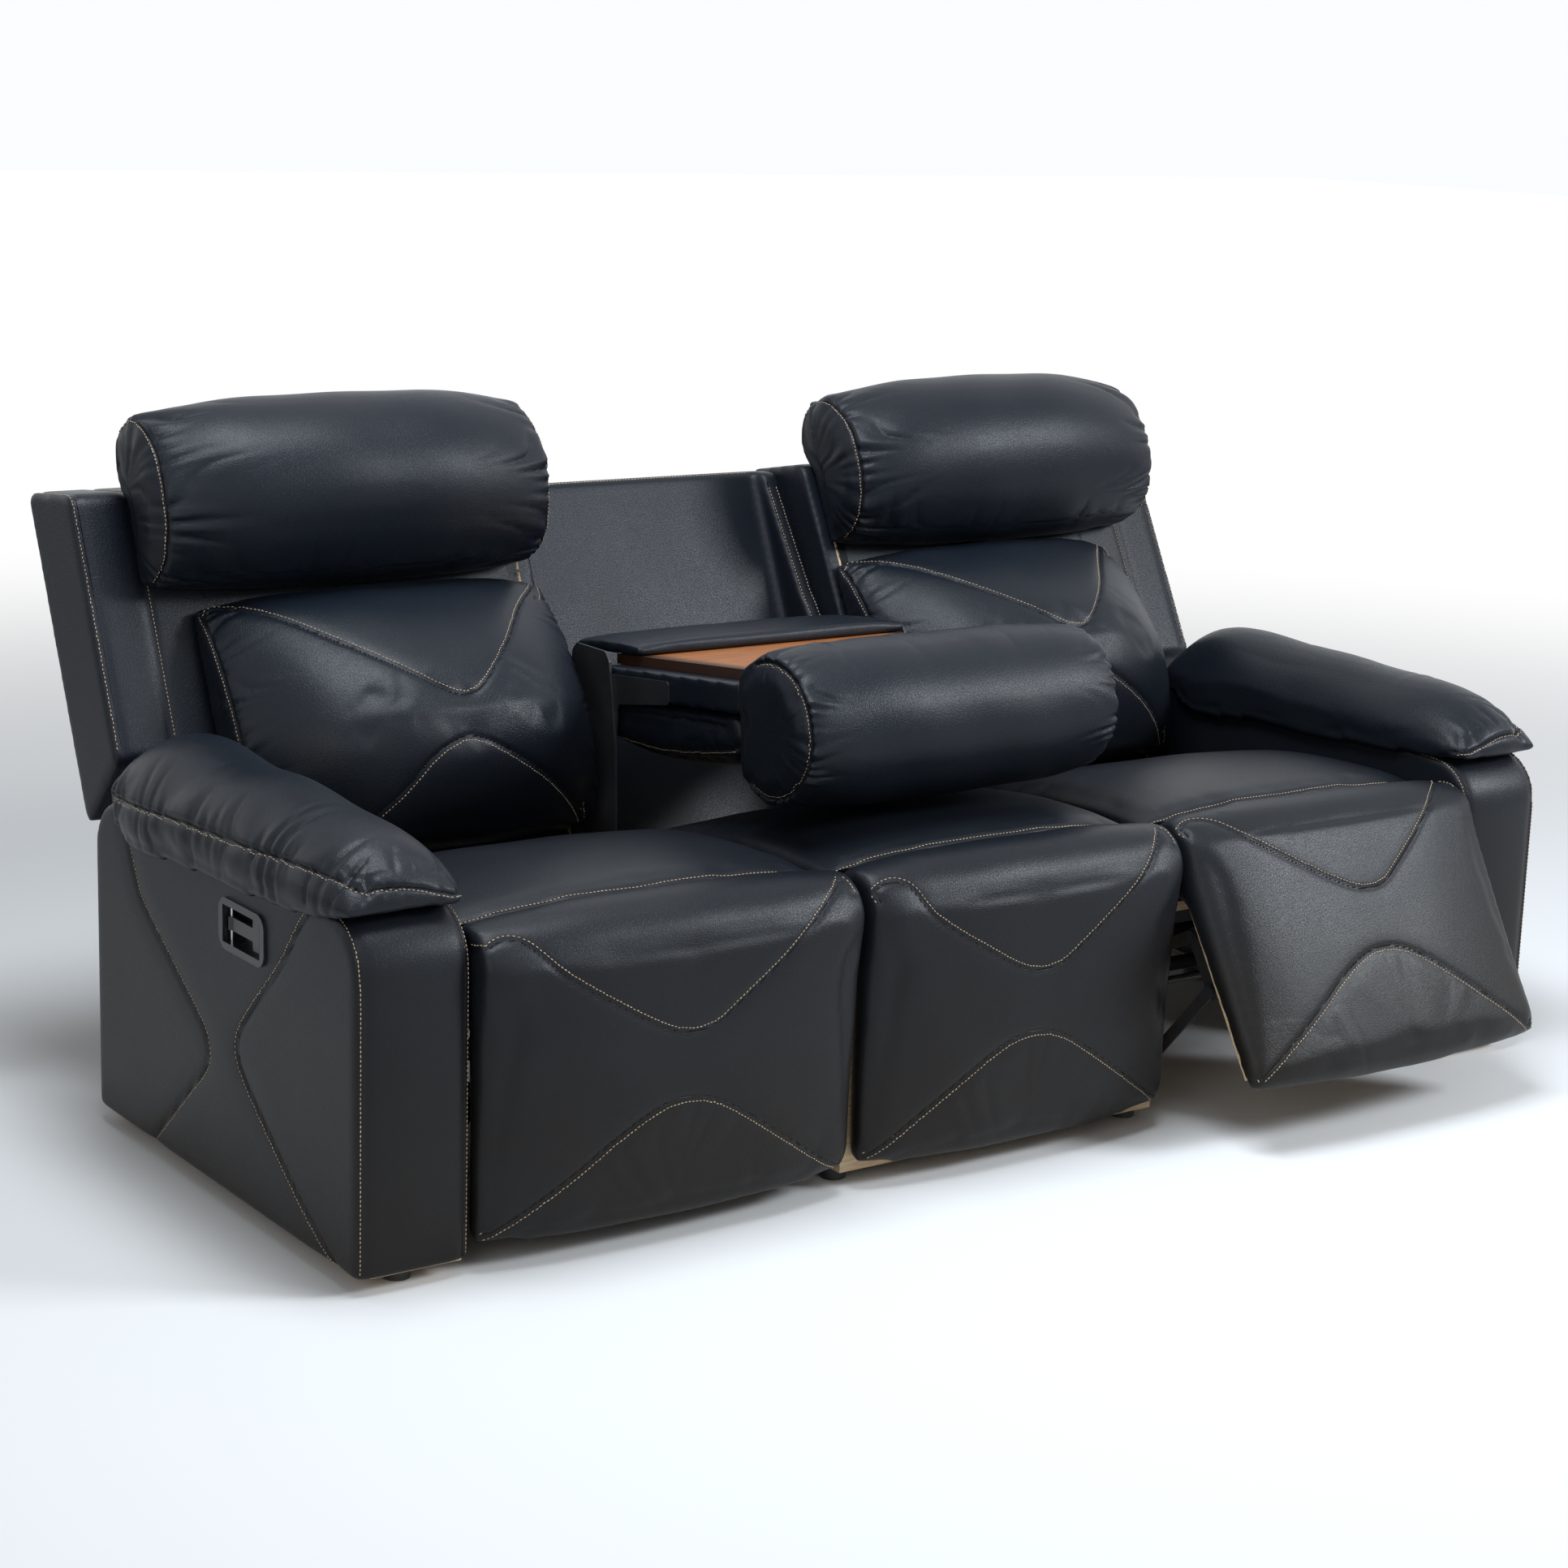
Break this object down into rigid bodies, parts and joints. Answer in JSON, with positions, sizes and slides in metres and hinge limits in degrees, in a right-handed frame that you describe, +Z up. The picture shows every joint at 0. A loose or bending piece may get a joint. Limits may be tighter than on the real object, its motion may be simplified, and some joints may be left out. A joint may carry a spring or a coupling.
{
  "type": "reclining sofa",
  "caption": "Reclining sofa with padded arms, two reclining outer seats with footrests, and a centre back that folds down into a wood tray console with cup holders.",
  "frame": {"origin": "floor point under the centre foot, midway between the arms", "axes": "+X to the sitter-facing viewer's right along the sofa, -Y towards the front of the seats, +Z up"},
  "size_m": [2.1216, 1.3126, 1.0185],
  "materials": {
    "leather": "soft black bonded leather, fine grain, tan stitching",
    "frame_wood": "raw plywood and softwood board",
    "webbing": "woven elastic strap",
    "black_steel": "satin black powder coat",
    "pin_steel": "plain steel pin",
    "handle_plastic": "smooth black",
    "cup_plastic": "smooth black",
    "tray_wood": "orange-brown stained veneer with dark edges",
    "glide_plastic": "black moulded glide"
  },
  "bodies": {
    "root": {"arm_frame_left": "frame_wood", "arm_cover_left": "leather", "arm_side_panel_left": "leather", "arm_pad_left": "leather", "handle_bezel_left": "handle_plastic", "handle_pin_left": "pin_steel", "seat_frame_left": "frame_wood", "seat_webbing_left": "webbing", "seat_cushion_left": "leather", "mechanism_plates_left": "black_steel", "arm_frame_right": "frame_wood", "arm_cover_right": "leather", "arm_side_panel_right": "leather", "arm_pad_right": "leather", "handle_bezel_right": "handle_plastic", "handle_pin_right": "pin_steel", "seat_frame_right": "frame_wood", "seat_webbing_right": "webbing", "seat_cushion_right": "leather", "mechanism_plates_right": "black_steel", "centre_seat_frame": "frame_wood", "seat_webbing_centre": "webbing", "seat_cushion_centre": "leather", "centre_front_pad": "leather", "centre_rear_shell": "leather", "console_hinge_brackets": "black_steel", "floor_glides": "glide_plastic"},
    "footrest_left": {"footrest_pad_left": "leather", "footrest_board_left": "frame_wood", "footrest_brackets_left": "black_steel"},
    "swing_left": {"swing_links_left": "black_steel"},
    "push_left": {"push_links_left": "black_steel"},
    "stay_left": {"stay_links_left": "black_steel"},
    "tie_left": {"tie_links_left": "black_steel"},
    "back_left": {"back_shell_left": "leather", "back_frame_left": "frame_wood", "back_brackets_left": "black_steel", "lumbar_cushion_left": "leather", "headrest_cushion_left": "leather"},
    "handle_left": {"handle_paddle_left": "handle_plastic"},
    "footrest_right": {"footrest_pad_right": "leather", "footrest_board_right": "frame_wood", "footrest_brackets_right": "black_steel"},
    "swing_right": {"swing_links_right": "black_steel"},
    "push_right": {"push_links_right": "black_steel"},
    "stay_right": {"stay_links_right": "black_steel"},
    "tie_right": {"tie_links_right": "black_steel"},
    "back_right": {"back_shell_right": "leather", "back_frame_right": "frame_wood", "back_brackets_right": "black_steel", "lumbar_cushion_right": "leather", "headrest_cushion_right": "leather"},
    "handle_right": {"handle_paddle_right": "handle_plastic"},
    "console": {"console_frame": "frame_wood", "console_tray": "tray_wood", "cup_holders": "cup_plastic", "console_lumbar_pad": "leather", "console_headrest_roll": "leather", "console_flap_pad": "leather", "console_hinge_arms": "black_steel"}
  },
  "joints": [
    {"name": "footrest_left_fold", "type": "hinge", "parent": "root", "child": "footrest_left", "pos_m": [-0.58, -0.37, 0.395], "axis": [-1, 0, 0], "range_deg": [0, 90]},
    {"name": "swing_left_turn", "type": "hinge", "parent": "root", "child": "swing_left", "pos_m": [-0.58, -0.24, 0.245], "axis": [-1, 0, 0], "range_deg": [0, 90]},
    {"name": "push_left_turn", "type": "hinge", "parent": "footrest_left", "child": "push_left", "pos_m": [-0.58, -0.338, 0.2], "axis": [-1, 0, 0], "range_deg": [-90, 0]},
    {"name": "stay_left_turn", "type": "hinge", "parent": "root", "child": "stay_left", "pos_m": [-0.58, -0.1, 0.255], "axis": [-1, 0, 0], "range_deg": [0, 90]},
    {"name": "tie_left_turn", "type": "hinge", "parent": "footrest_left", "child": "tie_left", "pos_m": [-0.58, -0.338, 0.285], "axis": [-1, 0, 0], "range_deg": [-90, 0]},
    {"name": "back_left_recline", "type": "hinge", "parent": "root", "child": "back_left", "pos_m": [-0.58, 0.255, 0.345], "axis": [-1, 0, 0], "range_deg": [0, 28]},
    {"name": "handle_left_pull", "type": "hinge", "parent": "root", "child": "handle_left", "pos_m": [-1.031, -0.037, 0.395], "axis": [0, 0, -1], "range_deg": [0, 25], "stiffness_Nm_per_rad": 0.12, "springref_deg": -11.46},
    {"name": "footrest_right_fold", "type": "hinge", "parent": "root", "child": "footrest_right", "pos_m": [0.58, -0.37, 0.395], "axis": [-1, 0, 0], "range_deg": [-32, 58]},
    {"name": "swing_right_turn", "type": "hinge", "parent": "root", "child": "swing_right", "pos_m": [0.58, -0.24, 0.245], "axis": [-1, 0, 0], "range_deg": [-32, 58]},
    {"name": "push_right_turn", "type": "hinge", "parent": "footrest_right", "child": "push_right", "pos_m": [0.58, -0.4462, 0.21267], "axis": [-1, 0, 0], "range_deg": [-58, 32]},
    {"name": "stay_right_turn", "type": "hinge", "parent": "root", "child": "stay_right", "pos_m": [0.58, -0.1, 0.255], "axis": [-1, 0, 0], "range_deg": [-32, 58]},
    {"name": "tie_right_turn", "type": "hinge", "parent": "footrest_right", "child": "tie_right", "pos_m": [0.58, -0.40115, 0.28476], "axis": [-1, 0, 0], "range_deg": [-58, 32]},
    {"name": "back_right_recline", "type": "hinge", "parent": "root", "child": "back_right", "pos_m": [0.58, 0.255, 0.345], "axis": [-1, 0, 0], "range_deg": [-4.4, 23.6]},
    {"name": "handle_right_pull", "type": "hinge", "parent": "root", "child": "handle_right", "pos_m": [1.031, -0.037, 0.395], "axis": [0, 0, 1], "range_deg": [0, 25], "stiffness_Nm_per_rad": 0.12, "springref_deg": -11.46},
    {"name": "console_fold", "type": "hinge", "parent": "root", "child": "console", "pos_m": [0, 0.262, 0.505], "axis": [-1, 0, 0], "range_deg": [0, 107]}
  ],
  "couplings": [
    {"joint": "swing_left_turn", "follows": "footrest_left_fold", "ratio": 1},
    {"joint": "push_left_turn", "follows": "footrest_left_fold", "ratio": -1},
    {"joint": "stay_left_turn", "follows": "footrest_left_fold", "ratio": 1},
    {"joint": "tie_left_turn", "follows": "footrest_left_fold", "ratio": -1},
    {"joint": "swing_right_turn", "follows": "footrest_right_fold", "ratio": 1},
    {"joint": "push_right_turn", "follows": "footrest_right_fold", "ratio": -1},
    {"joint": "stay_right_turn", "follows": "footrest_right_fold", "ratio": 1},
    {"joint": "tie_right_turn", "follows": "footrest_right_fold", "ratio": -1}
  ]
}
